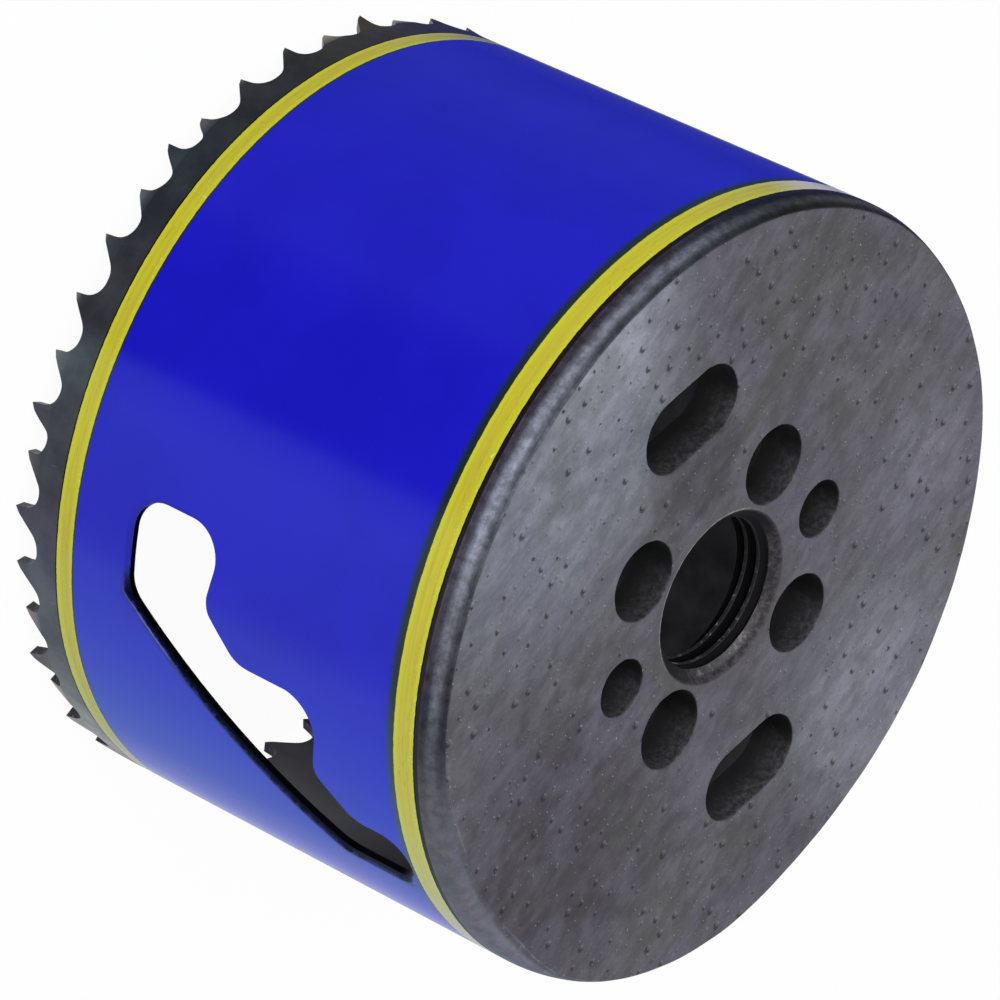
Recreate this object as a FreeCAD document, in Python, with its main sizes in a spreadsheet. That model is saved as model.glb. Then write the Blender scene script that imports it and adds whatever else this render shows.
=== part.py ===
import FreeCAD, Part
import math
import os

import Sketcher

# A 76 mm hole saw: a toothed steel cup under a thick backing plate.
# The saw stands on its teeth, with +Z towards the arbor side, and the origin on the axis at the tooth tips.
# Lengths are in millimetres and angles in degrees, measured about +Z.

DRIVING_SIZES = (
    ("saw_diameter", 76.0),
    ("overall_height", 52.0),
    ("strip_thickness", 1.0),
    # Backing plate
    ("plate_thickness", 4.5),
    ("flange_thickness", 2.6),
    ("rim_inset", 0.65),
    ("rim_break", 0.15),
    ("spigot_clearance", 0.05),
    ("bore_diameter", 14.6),
    ("bore_chamfer", 1.3),
    ("drive_hole_diameter", 7.7),
    ("drive_hole_circle", 25.9),
    ("pin_hole_diameter", 5.6),
    ("pin_hole_circle", 28.1),
    ("pin_hole_angle", 135.0),
    ("knockout_length", 12.4),
    ("knockout_width", 7.4),
    ("knockout_circle", 43.0),
    ("knockout_angle", 45.0),
    # Teeth, on the strip's outer face
    ("pitch_first", 4.77),
    ("pitch_second", 5.29),
    ("pitch_third", 5.88),
    ("pitch_fourth", 5.57),
    ("pitch_fifth", 5.11),
    ("weld_seam_angle", 58.7),
    ("tooth_set", 0.45),
    ("tip_land", 0.06),
    ("relief_run", 0.6),
    ("relief_angle", 31.0),
    ("back_angle", 44.0),
    ("face_height", 1.0),
    ("face_lean", 7.0),
    ("gullet_depth", 2.45),
    ("gullet_root", 1.9),
    ("root_above_bend", 0.45),
    # Stepped side slot, on the strip's outer face, with its shelves' heights as shares of its own
    ("slot_start_angle", 104.0),
    ("slot_spacing", 190.0),
    ("slot_below_flange", 3.6),
    ("slot_height", 31.85),
    ("slot_width", 29.9),
    ("slot_foot_width", 9.8),
    ("slot_tail_height", 8.7),
    ("step_width", 12.0),
    ("first_shelf_share", 0.3345),
    ("shelf_rise_share", 0.3976),
    ("shelf_dip", 1.5),
    ("shelf_length", 7.7),
    ("slot_corner_radius", 3.4),
    ("slot_head_radius", 2.5),
    ("nub_radius", 2.4),
    ("slot_edge_break", 0.4),
)

PITCH_NAMES = ("pitch_first", "pitch_second", "pitch_third", "pitch_fourth", "pitch_fifth")
# The set of each tooth in the repeating group of five: 1 is bent out, -1 is bent in, 0 is the raker.
SET_PATTERN = (1.0, -1.0, 0.5, 0.0, -1.0)
# A longer pitch has a deeper gullet.
DEPTH_PER_PITCH = 0.25
# Handles of the gullet's curves, as shares of the run that each one spans.
LONG_HANDLE = 0.55
SHORT_HANDLE = 0.4
# How far a cutter runs past the metal that it cuts.
OVERCUT = 1.0
SIDE_SLOTS = 2

FLANGE_FOOT = "Sizes.overall_height - Sizes.flange_thickness"
PLATE_FOOT = "Sizes.overall_height - Sizes.plate_thickness"
SPIGOT_RADIUS = "Sizes.saw_diameter / 2 - Sizes.strip_thickness - Sizes.spigot_clearance"
BEND_HEIGHT = "Sizes.gullet_depth - Sizes.root_above_bend"

doc = FreeCAD.newDocument("hole_saw")


def make_sheet():
    sheet = doc.addObject("Spreadsheet::Sheet", "Sizes")
    for row, (name, value) in enumerate(DRIVING_SIZES, start=1):
        sheet.set(f"A{row}", name)
        sheet.set(f"B{row}", str(value))
        sheet.setAlias(f"B{row}", name)
    doc.recompute()
    return sheet


sheet = make_sheet()


def size(name):
    return float(sheet.get(name))


def value_of(formula):
    return float(sheet.evalExpression(formula))


def origin_feature(body, role):
    return next(feature for feature in body.Origin.OriginFeatures if feature.Role == role)


def new_sketch(body, name, plane, height=None, turn=None):
    """A sketch on one of the body's own planes, raised to a height and turned about the plane's normal."""
    sketch = body.newObject("Sketcher::SketchObject", name)
    sketch.AttachmentSupport = [(origin_feature(body, plane), "")]
    sketch.MapMode = "FlatFace"
    if turn:
        axis = FreeCAD.Vector(0, 0, 1)
        sketch.AttachmentOffset = FreeCAD.Placement(FreeCAD.Vector(), FreeCAD.Rotation(axis, value_of(turn)))
        sketch.setExpression("AttachmentOffset.Rotation.Angle", turn)
    if height:
        sketch.setExpression("AttachmentOffset.Base.z", height)
    return sketch


def dimension(sketch, name, kind, refs, formula):
    """A named driving constraint whose value is a formula of the sheet's sizes."""
    index = sketch.addConstraint(Sketcher.Constraint(kind, *refs, value_of(formula)))
    sketch.renameConstraint(index, name)
    sketch.setExpression("Constraints." + name, formula)


def place_point(sketch, name, geometry, point, across, up):
    dimension(sketch, name + "_across", "DistanceX", (-1, 1, geometry, point), across)
    dimension(sketch, name + "_up", "DistanceY", (-1, 1, geometry, point), up)


# Backing plate

def plate_profile(body):
    """Half section of the plate: bore, spigot, flange with its rounded rim, and the bore's chamfer."""
    corners = (
        ("bore_foot", "Sizes.bore_diameter / 2", PLATE_FOOT),
        ("spigot_foot", SPIGOT_RADIUS, PLATE_FOOT),
        ("spigot_root", SPIGOT_RADIUS, FLANGE_FOOT),
        ("flange_edge", "Sizes.saw_diameter / 2", FLANGE_FOOT),
        ("crease", "Sizes.saw_diameter / 2 - Sizes.rim_inset", "Sizes.overall_height"),
        ("chamfer_top", "Sizes.bore_diameter / 2 + Sizes.bore_chamfer", "Sizes.overall_height"),
        ("chamfer_foot", "Sizes.bore_diameter / 2", "Sizes.overall_height - Sizes.bore_chamfer"),
    )
    sketch = new_sketch(body, "plate_profile", "XZ_Plane")
    names = [name for name, _, _ in corners]
    points = [FreeCAD.Vector(value_of(across), value_of(up), 0) for _, across, up in corners]
    rim = names.index("flange_edge")
    count = len(points)
    for index in range(count):
        start = points[index]
        end = points[(index + 1) % count]
        side = rim_arc(start, end) if index == rim else Part.LineSegment(start, end)
        sketch.addGeometry(side, False)
    for index in range(count):
        sketch.addConstraint(Sketcher.Constraint("Coincident", index, 2, (index + 1) % count, 1))
    for index, (name, across, up) in enumerate(corners):
        place_point(sketch, name, index, 1, across, up)
    dimension(sketch, "rim_centre_up", "DistanceY", (-1, 1, rim, 3), FLANGE_FOOT)
    return sketch


def rim_arc(foot, crease):
    """The rim leaves the wall's line upright and leans in to the crease, so its centre is level with its foot."""
    inset = foot.x - crease.x
    rise = crease.y - foot.y
    radius = (inset ** 2 + rise ** 2) / (2 * inset)
    centre = FreeCAD.Vector(foot.x - radius, foot.y, 0)
    circle = Part.Circle(centre, FreeCAD.Vector(0, 0, 1), radius)
    return Part.ArcOfCircle(circle, 0, math.asin(rise / radius))


def circle_names(shape, radius, height):
    """Names of the circular edges about the axis with this radius at this height."""
    names = []
    for index, edge in enumerate(shape.Edges, start=1):
        if not isinstance(edge.Curve, Part.Circle):
            continue
        right_radius = math.isclose(edge.Curve.Radius, radius, abs_tol=1e-4)
        right_height = math.isclose(edge.Curve.Center.z, height, abs_tol=1e-4)
        if right_radius and right_height:
            names.append(f"Edge{index}")
    return names


def drill(body, sketch, name, copies):
    """A cut right down through the plate, repeated about the axis."""
    doc.recompute()
    before = body.Shape.Volume
    pocket = body.newObject("PartDesign::Pocket", name)
    pocket.Profile = sketch
    pocket.Type = "ThroughAll"
    doc.recompute()
    if pocket.Shape.Volume >= before:
        raise RuntimeError(name + " cuts nothing")
    pattern = body.newObject("PartDesign::PolarPattern", name + "_pattern")
    pattern.Originals = [pocket]
    pattern.Axis = (origin_feature(body, "Z_Axis"), [""])
    pattern.Angle = 360
    pattern.Occurrences = copies
    body.Tip = pattern
    doc.recompute()


def round_hole(body, name, diameter, circle, turn=None):
    sketch = new_sketch(body, name, "XY_Plane", "Sizes.overall_height", turn)
    centre = FreeCAD.Vector(value_of(circle + " / 2"), 0, 0)
    hole = Part.Circle(centre, FreeCAD.Vector(0, 0, 1), value_of(diameter + " / 2"))
    sketch.addGeometry(hole, False)
    dimension(sketch, "hole_radius", "Radius", (0,), diameter + " / 2")
    dimension(sketch, "off_axis", "DistanceX", (-1, 1, 0, 3), circle + " / 2")
    sketch.addConstraint(Sketcher.Constraint("PointOnObject", 0, 3, -1))
    return sketch


def knockout_slot(body):
    """An obround whose long axis is square to the radius that it sits on."""
    sketch = new_sketch(body, "knockout_slot", "XY_Plane", "Sizes.overall_height", "Sizes.knockout_angle")
    off_axis = "Sizes.knockout_circle / 2"
    end_offset = "(Sizes.knockout_length - Sizes.knockout_width) / 2"
    x = value_of(off_axis)
    y = value_of(end_offset)
    radius = value_of("Sizes.knockout_width / 2")
    normal = FreeCAD.Vector(0, 0, 1)
    far = Part.ArcOfCircle(Part.Circle(FreeCAD.Vector(x, y, 0), normal, radius), 0, math.pi)
    inner = Part.LineSegment(FreeCAD.Vector(x - radius, y, 0), FreeCAD.Vector(x - radius, -y, 0))
    near = Part.ArcOfCircle(Part.Circle(FreeCAD.Vector(x, -y, 0), normal, radius), math.pi, 2 * math.pi)
    outer = Part.LineSegment(FreeCAD.Vector(x + radius, -y, 0), FreeCAD.Vector(x + radius, y, 0))
    for side in (far, inner, near, outer):
        sketch.addGeometry(side, False)
    for index in range(4):
        sketch.addConstraint(Sketcher.Constraint("Tangent", index, 2, (index + 1) % 4, 1))
    sketch.addConstraint(Sketcher.Constraint("Equal", 0, 2))
    dimension(sketch, "end_radius", "Radius", (0,), "Sizes.knockout_width / 2")
    place_point(sketch, "far_centre", 0, 3, off_axis, end_offset)
    place_point(sketch, "near_centre", 2, 3, off_axis, "-" + end_offset)
    return sketch


def make_backing_plate():
    body = doc.addObject("PartDesign::Body", "backing_plate")
    profile = plate_profile(body)
    disc = body.newObject("PartDesign::Revolution", "turned_disc")
    disc.Profile = profile
    disc.ReferenceAxis = (profile, ["V_Axis"])
    disc.Angle = 360
    doc.recompute()
    crease_radius = value_of("Sizes.saw_diameter / 2 - Sizes.rim_inset")
    crease = body.newObject("PartDesign::Chamfer", "crease_break")
    crease.Base = (disc, circle_names(disc.Shape, crease_radius, size("overall_height")))
    crease.setExpression("Size", "Sizes.rim_break")
    drive = round_hole(body, "drive_hole", "Sizes.drive_hole_diameter", "Sizes.drive_hole_circle")
    drill(body, drive, "drive_holes", 4)
    pin = round_hole(body, "pin_hole", "Sizes.pin_hole_diameter", "Sizes.pin_hole_circle", "Sizes.pin_hole_angle")
    drill(body, pin, "pin_holes", 2)
    drill(body, knockout_slot(body), "knockout_slots", 2)
    body.Label = "backing_plate"
    return body


# Cutters for the strip. Their outlines are drawn on the strip's outer face, laid flat:
# x runs round the saw and y runs up the axis.

def flat(x, y):
    return FreeCAD.Base.Vector2d(x, y)


def unit(vector):
    return vector * (1 / math.hypot(vector.x, vector.y))


def straight(start, end):
    return Part.Geom2d.Line2dSegment(start, end)


def wrapped_cutter(curves):
    """A solid with radial sides through the strip, over an outline drawn on the strip's outer face."""
    around = size("saw_diameter") / 2
    drum = Part.Cylinder()
    drum.Radius = around - size("strip_thickness") - OVERCUT
    edges = []
    for curve in curves:
        spline = curve.toBSpline()
        for index in range(1, spline.NbPoles + 1):
            pole = spline.getPole(index)
            spline.setPole(index, flat(pole.x / around, pole.y))
        edges.append(spline.toShape(drum))
    face = Part.Face(drum, Part.Wire(edges))
    face.validate()
    return face.makeOffsetShape(around + OVERCUT - drum.Radius, 1e-4, fill=True)


def turned(shape, angle):
    copy = shape.copy()
    copy.rotate(FreeCAD.Vector(), FreeCAD.Vector(0, 0, 1), angle)
    return copy


# Teeth. They are milled from one end of the strip to the other, so the pitch at the weld seam is what is left.

def tooth_pitches():
    """Arc lengths from each tooth's tip to the next, starting at the first tooth after the seam."""
    group = [size(name) for name in PITCH_NAMES]
    around = math.pi * size("saw_diameter")
    count = round(around * len(group) / sum(group))
    pitches = [group[index % len(group)] for index in range(count - 1)]
    pitches.append(around - sum(pitches))
    return pitches


def tip_angles(pitches):
    angles = []
    angle = size("weld_seam_angle")
    for pitch in pitches:
        angles.append(angle)
        angle += math.degrees(pitch * 2 / size("saw_diameter"))
    return angles


def gullet_outline(pitch):
    """The gap from the tooth behind to the tip at the origin, as the poles of each side in turn.

    Two poles are a straight side and four are a Bezier curve.
    """
    mean_pitch = sum(size(name) for name in PITCH_NAMES) / len(PITCH_NAMES)
    depth = size("gullet_depth") + DEPTH_PER_PITCH * (pitch - mean_pitch)
    relief_start = flat(size("tip_land") - pitch, 0)
    relief_rise = size("relief_run") * math.tan(math.radians(size("relief_angle")))
    relief_end = flat(relief_start.x + size("relief_run"), relief_rise)
    root = flat(-size("gullet_root"), depth)
    tip = flat(0, 0)
    lean = math.tan(math.radians(size("face_lean")))
    face_end = flat(-size("face_height") * lean, size("face_height"))
    back_run = LONG_HANDLE * (root.x - relief_end.x)
    back_pole = flat(relief_end.x + back_run, relief_end.y + back_run * math.tan(math.radians(size("back_angle"))))
    back_root_pole = flat(root.x - SHORT_HANDLE * (root.x - relief_end.x), depth)
    face_root_pole = flat(root.x + LONG_HANDLE * (face_end.x - root.x), depth)
    face_rise = LONG_HANDLE * (depth - face_end.y)
    face_pole = flat(face_end.x - face_rise * lean, face_end.y + face_rise)
    foot_front = flat(0, -OVERCUT)
    foot_back = flat(relief_start.x, -OVERCUT)
    return (
        (relief_start, relief_end),
        (relief_end, back_pole, back_root_pole, root),
        (root, face_root_pole, face_pole, face_end),
        (face_end, tip),
        (tip, foot_front),
        (foot_front, foot_back),
        (foot_back, relief_start),
    )


def gullet_wire(pitch, radius):
    """The gullet's outline at one radius, on the plane that touches the saw at the gullet's middle."""
    spread = radius * 2 / size("saw_diameter")
    edges = []
    for poles in gullet_outline(pitch):
        curve = Part.BezierCurve()
        curve.setPoles([FreeCAD.Vector(radius, (pole.x + pitch / 2) * spread, pole.y) for pole in poles])
        edges.append(curve.toShape())
    return Part.Wire(edges)


def gullet_cutter(pitch):
    """A wedge with radial sides, so that each gullet narrows towards the axis as the rolled strip does."""
    outer = size("saw_diameter") / 2
    reach = size("tooth_set") + OVERCUT
    wires = [gullet_wire(pitch, radius) for radius in (outer - size("strip_thickness") - reach, outer + reach)]
    wedge = Part.makeLoft(wires, True, True)
    return turned(wedge, -math.degrees(pitch / 2 / outer))


def gullet_cutters(pitches, angles):
    """One cutter per gullet. The gullet before a tip is as wide as the pitch that ends there."""
    shapes = {}
    cutters = []
    for index, angle in enumerate(angles):
        pitch = pitches[index - 1]
        if pitch not in shapes:
            shapes[pitch] = gullet_cutter(pitch)
        cutters.append(turned(shapes[pitch], angle))
    return Part.makeCompound(cutters)


def bent_teeth(pitches, angles):
    """The strip below the bend line, in one piece per tooth, each leaning out or in by its set."""
    outer = size("saw_diameter") / 2
    inner = outer - size("strip_thickness")
    bend = value_of(BEND_HEIGHT)
    root = size("gullet_root")
    gap = size("root_above_bend")
    teeth = []
    for index, angle in enumerate(angles):
        lean = size("tooth_set") * SET_PATTERN[index % len(SET_PATTERN)]
        corners = (
            FreeCAD.Vector(inner, 0, bend),
            FreeCAD.Vector(outer, 0, bend),
            FreeCAD.Vector(outer + lean, 0, 0),
            FreeCAD.Vector(inner + lean, 0, 0),
        )
        section = Part.Face(Part.makePolygon(corners + corners[:1]))
        sweep = math.degrees((pitches[index] - gap) / outer)
        start = angle - math.degrees((root - gap / 2) / outer)
        shell = section.revolve(FreeCAD.Vector(), FreeCAD.Vector(0, 0, 1), sweep)
        teeth.append(turned(shell, start))
    return Part.makeCompound(teeth)


# Side slots: two shelves and a head step up to the right, over a straight ramp from the foot to the tail.

def slot_corners():
    """Corners of the slot with their radii, from the foot's left end, anticlockwise as seen from outside."""
    foot = value_of(FLANGE_FOOT) - size("slot_below_flange") - size("slot_height")
    head = foot + size("slot_height")
    width = size("slot_width")
    round_corner = size("slot_corner_radius")
    round_head = size("slot_head_radius")
    nub = size("nub_radius")
    corners = [
        (flat(0, foot), round_corner),
        (flat(size("slot_foot_width"), foot), round_corner),
        (flat(width, head - size("slot_tail_height")), round_corner),
        (flat(width, head), round_head),
    ]
    left = 2 * size("step_width")
    corners.append((flat(left, head), round_head))
    for step in (1, 0):
        shelf = foot + size("slot_height") * (size("first_shelf_share") + step * size("shelf_rise_share"))
        nub_x = step * size("step_width") + size("shelf_length")
        nub_y = shelf - size("shelf_dip")
        corners.append((flat(left, nub_y + left - nub_x), round_corner))
        corners.append((flat(nub_x, nub_y), nub))
        left = step * size("step_width")
        corners.append((flat(left, shelf), round_corner))
    return corners


def corner_arc(before, point, after, radius):
    """Start, middle and end of the round at one corner."""
    back = unit(before - point)
    ahead = unit(after - point)
    half = math.acos(back.x * ahead.x + back.y * ahead.y) / 2
    reach = radius / math.tan(half)
    middle = point + unit(back + ahead) * (radius / math.sin(half) - radius)
    return point + back * reach, middle, point + ahead * reach


def slot_outline():
    corners = slot_corners()
    count = len(corners)
    arcs = []
    for index, (point, radius) in enumerate(corners):
        before = corners[index - 1][0]
        after = corners[(index + 1) % count][0]
        arcs.append(corner_arc(before, point, after, radius))
    curves = []
    for index, (start, middle, end) in enumerate(arcs):
        curves.append(Part.Geom2d.ArcOfCircle2d(start, middle, end))
        curves.append(straight(end, arcs[(index + 1) % count][0]))
    return curves


def slot_cutters():
    cutter = wrapped_cutter(slot_outline())
    angles = [size("slot_start_angle") + index * size("slot_spacing") for index in range(SIDE_SLOTS)]
    return Part.makeCompound([turned(cutter, angle) for angle in angles])


def slot_rim_edges(shape):
    """Edges where the slots meet the strip's outer face, with the size of the break that the punch leaves."""
    outer = size("saw_diameter") / 2
    low = value_of(BEND_HEIGHT) + size("root_above_bend") + 1
    high = value_of(FLANGE_FOOT) - 1
    edge_break = size("slot_edge_break")
    chosen = []
    for index, edge in enumerate(shape.Edges, start=1):
        middle = edge.valueAt((edge.FirstParameter + edge.LastParameter) / 2)
        ends = [vertex.Point for vertex in edge.Vertexes] + [middle]
        on_face = all(math.isclose(math.hypot(p.x, p.y), outer, abs_tol=1e-3) for p in ends)
        in_band = all(low < p.z < high for p in ends)
        if on_face and in_band:
            chosen.append((index, edge_break, edge_break))
    return chosen


# Toothed wall

def shape_feature(name, shape):
    feature = doc.addObject("Part::Feature", name)
    feature.Shape = shape
    feature.Placement = FreeCAD.Placement()
    return feature


def tube_cylinder(name, radius):
    cylinder = doc.addObject("Part::Cylinder", name)
    cylinder.setExpression("Radius", radius)
    cylinder.setExpression("Height", f"{FLANGE_FOOT} - ({BEND_HEIGHT})")
    cylinder.setExpression("Placement.Base.z", BEND_HEIGHT)
    return cylinder


def cut(name, base, tool):
    feature = doc.addObject("Part::Cut", name)
    feature.Base = base
    feature.Tool = tool
    return feature


def make_toothed_wall():
    pitches = tooth_pitches()
    angles = tip_angles(pitches)
    outside = tube_cylinder("strip_outside", "Sizes.saw_diameter / 2")
    inside = tube_cylinder("strip_inside", "Sizes.saw_diameter / 2 - Sizes.strip_thickness")
    tube = cut("rolled_strip", outside, inside)
    teeth = shape_feature("bent_teeth", bent_teeth(pitches, angles))
    blank = doc.addObject("Part::MultiFuse", "strip_with_blank_edge")
    blank.Shapes = [tube, teeth]
    blank.Refine = True
    gullets = shape_feature("gullet_cutters", gullet_cutters(pitches, angles))
    toothed = cut("toothed_strip", blank, gullets)
    slots = shape_feature("slot_cutters", slot_cutters())
    punched = cut("punched_strip", toothed, slots)
    doc.recompute()
    wall = doc.addObject("Part::Chamfer", "toothed_wall")
    wall.Base = punched
    wall.Edges = slot_rim_edges(punched.Shape)
    wall.Label = "toothed_wall"
    return wall


def check(parts):
    for feature in doc.Objects:
        if "Invalid" in feature.State or "Error" in feature.State:
            raise RuntimeError(feature.Name + " failed")
    for part in parts:
        if part.Shape.isNull() or not part.Shape.isValid() or len(part.Shape.Solids) != 1:
            raise RuntimeError(part.Label + " isn't one sound solid")


def main():
    parts = (make_backing_plate(), make_toothed_wall())
    doc.recompute()
    check(parts)
    os.makedirs("parts", exist_ok=True)
    for part in parts:
        part.Shape.exportStep(f"parts/{part.Label}.step")


main()
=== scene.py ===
import math

import bmesh
import bpy
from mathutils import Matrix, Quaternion, Vector, geometry, noise


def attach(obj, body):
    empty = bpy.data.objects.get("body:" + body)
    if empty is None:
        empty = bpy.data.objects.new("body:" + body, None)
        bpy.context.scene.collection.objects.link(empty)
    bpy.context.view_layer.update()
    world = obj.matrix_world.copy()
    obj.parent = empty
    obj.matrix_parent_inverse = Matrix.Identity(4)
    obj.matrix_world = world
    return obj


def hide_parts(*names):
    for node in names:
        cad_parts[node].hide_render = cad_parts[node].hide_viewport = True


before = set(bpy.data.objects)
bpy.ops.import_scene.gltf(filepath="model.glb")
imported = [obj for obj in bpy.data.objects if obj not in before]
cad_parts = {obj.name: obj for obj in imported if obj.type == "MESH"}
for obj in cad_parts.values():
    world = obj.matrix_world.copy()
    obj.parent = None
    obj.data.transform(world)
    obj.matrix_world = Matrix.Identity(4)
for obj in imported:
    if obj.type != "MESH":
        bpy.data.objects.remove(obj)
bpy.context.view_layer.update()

MM = 0.001

# The camera stands where the photograph's rings, holes and outline put it. Angles are in degrees.
CAMERA_AZIMUTH = 172.29
CAMERA_ELEVATION = 34.23
CAMERA_ROLL = 115.63
CAMERA_DISTANCE = 0.61987
CAMERA_AIM = Vector((-0.000675, 0.000327, 0.025657))
CAMERA_LENS = 241.18
CAMERA_SENSOR = 36

# Sizes in millimetres and angles in degrees, as in the CAD source. Heights are up from the tooth tips.
OUTER_RADIUS = 38.0
FAR_RING = (5.17, 7.12)
NEAR_RING = (46.58, 48.89)
FACE_HEIGHT = 52.0
PLATE_THICKNESS = 4.5
FLANGE_THICKNESS = 2.6
FOOT_HEIGHT = FACE_HEIGHT - PLATE_THICKNESS
FLANGE_HEIGHT = FACE_HEIGHT - FLANGE_THICKNESS
RIM_INSET = 0.65
SPIGOT_RADIUS = 36.95
BORE_RADIUS = 7.3
BORE_CHAMFER = 1.3
BORE_MOUTH = BORE_RADIUS + BORE_CHAMFER
DRIVE_HOLES = {"radius": 3.85, "circle": 25.9, "angles": (0, 90, 180, 270)}
PIN_HOLES = {"radius": 2.8, "circle": 28.1, "angles": (135, 315)}
KNOCKOUTS = {"radius": 3.7, "circle": 43.0, "angles": (45, 225), "straight": 5.0}

# The side slots, laid flat. RAMP_OUT points out of the slot, square to its ramp.
SLOT_START = 104
SLOT_SPACING = 190
SLOT_FOOT = 13.95
RAMP_START = 9.8
RAMP_OUT = (0.7551, -0.6556)
SLOT_WIDTH = 29.9
SLOT_TOP = 45.8

# The arbor thread: right-handed, with a crest's middle at THREAD_HEIGHT where the angle is THREAD_START.
THREAD_PITCH = 1.41
THREAD_DEPTH = 0.64
THREAD_CREST = 0.3
THREAD_ROOT = 0.16
THREAD_START = 262
THREAD_HEIGHT = 49.9

# The rim's tones from the weld up to the crease, by height above the flange's foot: painted shade beside
# the weld and towards the crease, and a painted highlight across the middle.
RIM_TONES_AND_PAINTED_LIGHT = (
    (0.0, (74, 66, 80)),
    (0.3, (60, 56, 66)),
    (0.65, (66, 64, 73)),
    (0.95, (90, 92, 102)),
    (1.3, (106, 108, 119)),
    (1.7, (96, 98, 108)),
    (2.0, (64, 66, 73)),
    (2.3, (46, 48, 54)),
    (2.6, (44, 45, 50)),
)

# Painted light: what the rim's and the tooth band's colours are multiplied by, at an angle from +X, either
# way round, lighter or darker by how the light falls on each side.
RIM_PAINTED_LIGHT = (
    (0, (1.22, 1.03, 0.45)),
    (20, (0.55, 0.54, 0.42)),
    (40, (1.65, 1.65, 1.6)),
    (60, (1.7, 1.65, 1.65)),
    (80, (2.25, 2.35, 2.35)),
    (100, (1.65, 1.55, 1.5)),
    (120, (0.75, 0.68, 0.68)),
    (140, (1.35, 1.1, 1.05)),
    (180, (1.45, 1.2, 1.1)),
)
BAND_PAINTED_LIGHT = (
    (0, (1.2, 0.95, 0.6)),
    (20, (1.7, 1.2, 0.45)),
    (40, (0.82, 0.76, 0.72)),
    (60, (0.60, 0.74, 0.75)),
    (80, (1.3, 1.5, 1.35)),
    (100, (0.72, 0.70, 0.70)),
    (120, (0.95, 0.80, 0.88)),
    (140, (1.45, 1.05, 0.85)),
    (156, (4.4, 3.4, 2.2)),
    (180, (4.4, 3.4, 2.2)),
)

# Where the lit walls of the holes face, and the side of the bore on which its lip is bright.
LIT_WALLS = (0.64, 0.77, 0.0)
LIT_LIP = (0.3, 0.95, 0.0)

# The plate's face: its grey, and soft patches laid over it with a centre, a reach and a colour each.
FACE_TONE = (93, 92, 98)
FACE_PATCHES = (
    ((8, 34), 22, (124, 127, 138)),
    ((21, 33), 11, (142, 144, 156)),
    ((16, -24), 10, (108, 107, 118)),
    ((10, 11), 6, (82, 81, 86)),
    ((-6, -31), 15, (121, 122, 133)),
    ((-27, 10), 20, (76, 74, 80)),
    ((33, 4), 14, (90, 89, 93)),
    ((-26, -24), 12, (85, 84, 89)),
)

# Which way the plate was rolled, as an angle in radians that turns its streaks along X.
GRAIN_TURN = math.radians(27)

# The studio, in metres and watts
FLOOR_COLOUR = (0.9, 0.9, 0.9, 1)
FLOOR_REACH = 6.0
FLOOR_HEIGHT = -0.00002
SHADOW_SHARE = 0.04
WORLD_LEVEL = 0.6
KEY_DIRECTION = (0.3, 0.9, 1.0)
KEY_DISTANCE = 1.1
KEY_SIZE = 0.9
KEY_POWER = 7.0

# The card that the paint mirrors: sizes in millimetres, then tones as a direction and a colour each.
CARD_SIGHT = 82.3
CARD_REACH = 400
COLLAR_HEIGHT = 100
CARD_COUNT = 240
FLOOR_CARD = (
    (-100, (0.95, 0.95, 0.95)),
    (-94, (0.80, 0.80, 0.85)),
    (-87, (0.10, 0.12, 0.32)),
    (-80, (0.05, 0.06, 0.32)),
    (-62, (0.05, 0.07, 0.32)),
    (-54, (0.07, 0.10, 0.35)),
    (-38, (0.12, 0.17, 0.36)),
    (-22, (0.15, 0.22, 0.30)),
    (-6, (0.19, 0.24, 0.28)),
    (10, (0.23, 0.25, 0.28)),
    (42, (0.26, 0.27, 0.30)),
    (52, (0.18, 0.17, 0.22)),
    (60, (0.15, 0.14, 0.18)),
    (91, (0.16, 0.13, 0.18)),
    (96, (0.46, 0.58, 0.64)),
    (106, (0.58, 0.70, 0.74)),
    (122, (0.52, 0.62, 0.66)),
    (138, (0.48, 0.56, 0.62)),
    (146, (0.50, 0.58, 0.66)),
    (152, (0.63, 0.79, 0.88)),
    (162, (0.60, 0.84, 0.92)),
    (186, (0.55, 0.80, 0.92)),
    (202, (0.48, 0.72, 0.86)),
    (214, (0.42, 0.61, 0.78)),
    (226, (0.46, 0.58, 0.76)),
    (234, (0.48, 0.53, 0.80)),
    (250, (0.56, 0.60, 0.80)),
    (260, (0.60, 0.60, 0.70)),
)
COLLAR_CARD = (
    (-100, (0.35, 0.35, 0.35)),
    (-42, (0.25, 0.26, 0.28)),
    (-2, (0.7, 0.72, 0.76)),
    (38, (0.9, 0.92, 0.96)),
    (78, (1.0, 1.05, 1.1)),
    (118, (0.8, 0.82, 0.86)),
    (158, (0.45, 0.46, 0.5)),
    (198, (0.7, 0.7, 0.72)),
    (260, (0.7, 0.7, 0.7)),
)

# The card's rings from the wall outward: how far out, how high, and whose tones.
CARD_ROWS = (
    (0.5, 0.1, FLOOR_CARD),
    (CARD_REACH, 0.1, FLOOR_CARD),
    (CARD_REACH + 1, 0.2, COLLAR_CARD),
    (CARD_REACH + 1, COLLAR_HEIGHT, COLLAR_CARD),
)

bpy.context.scene.view_settings.view_transform = "Standard"


# Node trees

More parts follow.
